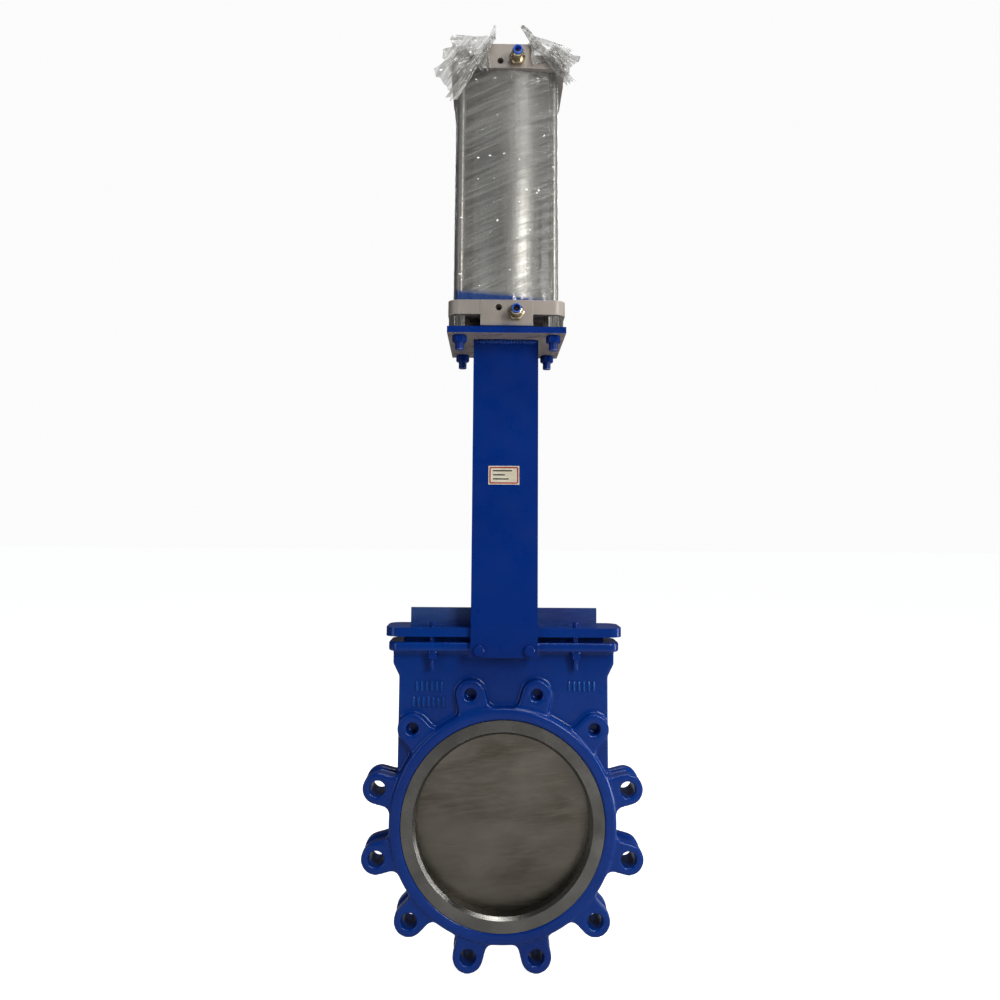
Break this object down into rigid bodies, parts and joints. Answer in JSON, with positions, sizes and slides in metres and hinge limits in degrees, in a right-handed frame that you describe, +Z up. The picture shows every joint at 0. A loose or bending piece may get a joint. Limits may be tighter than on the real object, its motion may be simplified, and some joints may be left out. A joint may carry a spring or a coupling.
{
  "type": "pneumatic knife gate valve",
  "caption": "Lugged knife gate valve with a cast body, a tall plate yoke and a double acting air cylinder on top, wrapped in clear film.",
  "frame": {"origin": "centre of the bore on the gate's middle plane", "axes": "+Z up along the gate's travel to the cylinder, -Y out of the inlet face, +X to the right seen from the inlet"},
  "size_m": [0.515, 0.2548, 1.7325],
  "materials": {
    "blue_enamel": "glossy deep blue enamel over cast and plate steel, orange peel, small runs",
    "seat_steel": "turned stainless steel",
    "gate_steel": "swirl ground stainless plate, top end oversprayed blue",
    "seal_rubber": "black nitrile rubber",
    "guide_plastic": "PTFE filled guide strip",
    "packing_braid": "braided PTFE packing",
    "label_plate": "pale plate with a dark red border",
    "cap_aluminium": "cast and machined aluminium, warm grey",
    "barrel_aluminium": "drawn tube, satin",
    "bronze": "sintered bronze",
    "rod_steel": "turned carbon steel",
    "zinc_steel": "zinc plated steel",
    "hard_chrome": "hard chromed ground rod",
    "fitting_brass": "nickel washed brass",
    "release_blue": "blue moulded ring",
    "clear_film": "clear polyethylene stretch film, wrinkled"
  },
  "bodies": {
    "valve": {"valve_body": "blue_enamel", "inlet_seat_ring": "seat_steel", "outlet_seat_ring": "seat_steel", "seat_seal": "seal_rubber", "gate_guides": "guide_plastic", "packing_ring_1": "packing_braid", "packing_ring_2": "packing_braid", "packing_ring_3": "packing_braid", "gland_flange": "blue_enamel", "gland_studs": "blue_enamel", "gland_washers": "blue_enamel", "gland_nuts": "blue_enamel", "yoke_front_plate": "blue_enamel", "yoke_rear_plate": "blue_enamel", "yoke_bolts": "blue_enamel", "yoke_top_plate": "blue_enamel", "name_plate": "label_plate", "lower_cap": "cap_aluminium", "upper_cap": "cap_aluminium", "barrel": "barrel_aluminium", "barrel_seal_lower": "seal_rubber", "barrel_seal_upper": "seal_rubber", "cushion_seal_lower": "seal_rubber", "cushion_seal_upper": "seal_rubber", "rod_bush": "bronze", "rod_wiper": "seal_rubber", "rod_seal": "seal_rubber", "tie_rods": "rod_steel", "tie_rod_nuts_lower": "zinc_steel", "tie_rod_nuts_upper": "zinc_steel", "mounting_nuts": "blue_enamel", "air_fitting_lower": "fitting_brass", "air_fitting_upper": "fitting_brass", "stretch_film": "clear_film", "film_bunch_left": "clear_film", "film_bunch_right": "clear_film"},
    "gate_stem": {"gate": "gate_steel", "clevis": "rod_steel", "clevis_bolts": "rod_steel", "clevis_nuts": "rod_steel", "lock_nut": "rod_steel", "piston_rod": "hard_chrome", "piston": "cap_aluminium", "piston_seals": "seal_rubber", "piston_wear_band": "guide_plastic", "cushion_collar_lower": "rod_steel", "cushion_collar_upper": "rod_steel", "piston_nut": "rod_steel"},
    "release_lower": {"release_ring_lower": "release_blue"},
    "release_upper": {"release_ring_upper": "release_blue"},
    "screw_lower": {"cushion_screw_lower": "fitting_brass"},
    "screw_upper": {"cushion_screw_upper": "fitting_brass"}
  },
  "joints": [
    {"name": "gate_slide", "type": "slide", "parent": "valve", "child": "gate_stem", "axis": [0, 0, 1], "range_m": [0, 0.355]},
    {"name": "release_lower_push", "type": "slide", "parent": "valve", "child": "release_lower", "axis": [0, 1, 0], "range_m": [0, 0.0015], "stiffness_N_per_m": 900, "springref_m": -0.001},
    {"name": "release_upper_push", "type": "slide", "parent": "valve", "child": "release_upper", "axis": [0, 1, 0], "range_m": [0, 0.0015], "stiffness_N_per_m": 900, "springref_m": -0.001},
    {"name": "screw_lower_turn", "type": "hinge", "parent": "valve", "child": "screw_lower", "pos_m": [-0.015, -0.098, 0.944], "axis": [0, -1, 0], "range_deg": [-360, 720]},
    {"name": "screw_upper_turn", "type": "hinge", "parent": "valve", "child": "screw_upper", "pos_m": [-0.015, -0.098, 1.425], "axis": [0, -1, 0], "range_deg": [-360, 720]}
  ]
}
